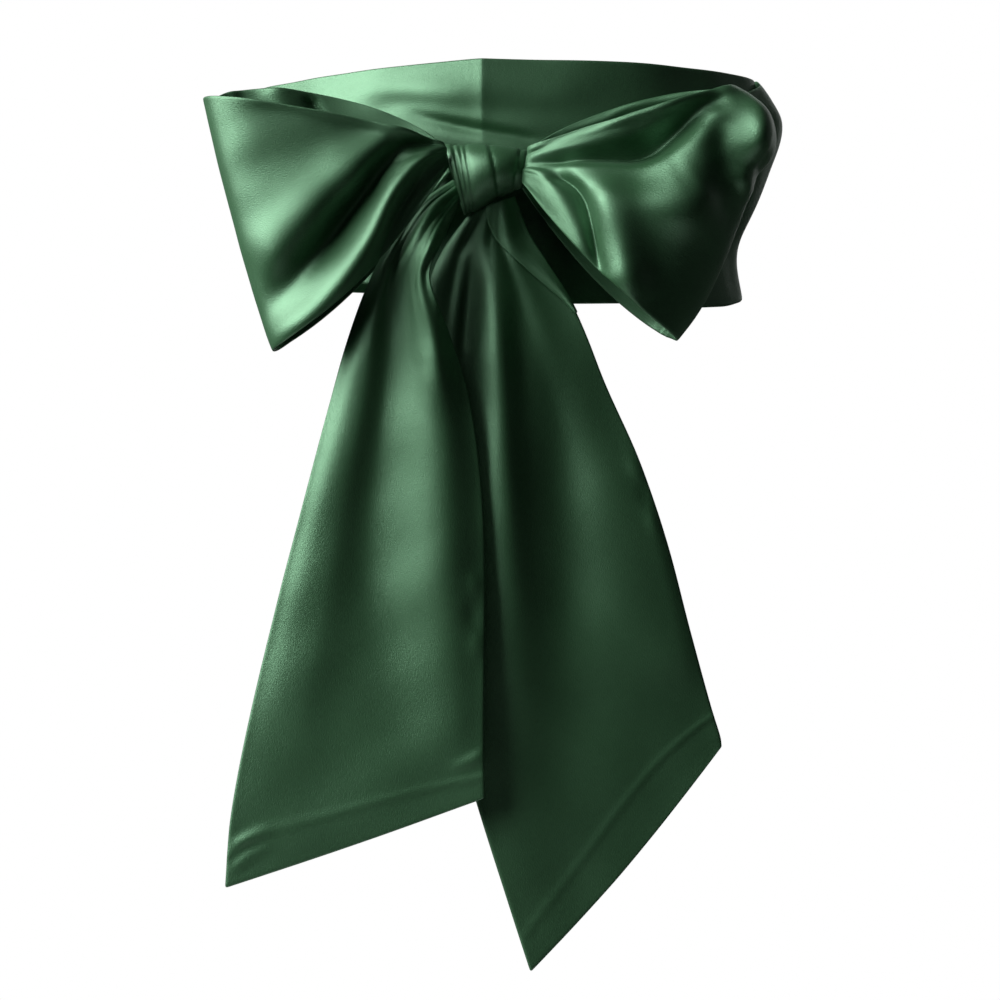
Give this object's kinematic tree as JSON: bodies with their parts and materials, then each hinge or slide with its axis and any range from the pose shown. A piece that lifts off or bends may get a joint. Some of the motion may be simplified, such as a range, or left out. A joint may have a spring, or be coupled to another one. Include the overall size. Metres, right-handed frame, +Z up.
{
  "type": "satin sash tied in a bow",
  "caption": "Wide double satin sash wound twice round the waist, tied in front in a big bow with a pleated knot, gathered loops and long slanted tails.",
  "frame": {"origin": "middle of the waist opening, half way up the band", "axes": "+Z up, -Y to the front where the bow is, +X to the wearer's left"},
  "size_m": [0.3069, 0.2615, 0.4838],
  "materials": {
    "satin_band": "satin cloth, bottle green, the band round the waist",
    "satin_bow": "satin cloth, bottle green, the bow and its tails"
  },
  "bodies": {
    "root": {"band_left": "satin_band", "band_right": "satin_band", "wrap_outer": "satin_band", "loop_left": "satin_bow", "loop_right": "satin_bow", "knot": "satin_bow", "tail_left": "satin_bow", "tail_right": "satin_bow", "tail_right_turned_edge": "satin_bow"}
  },
  "joints": []
}
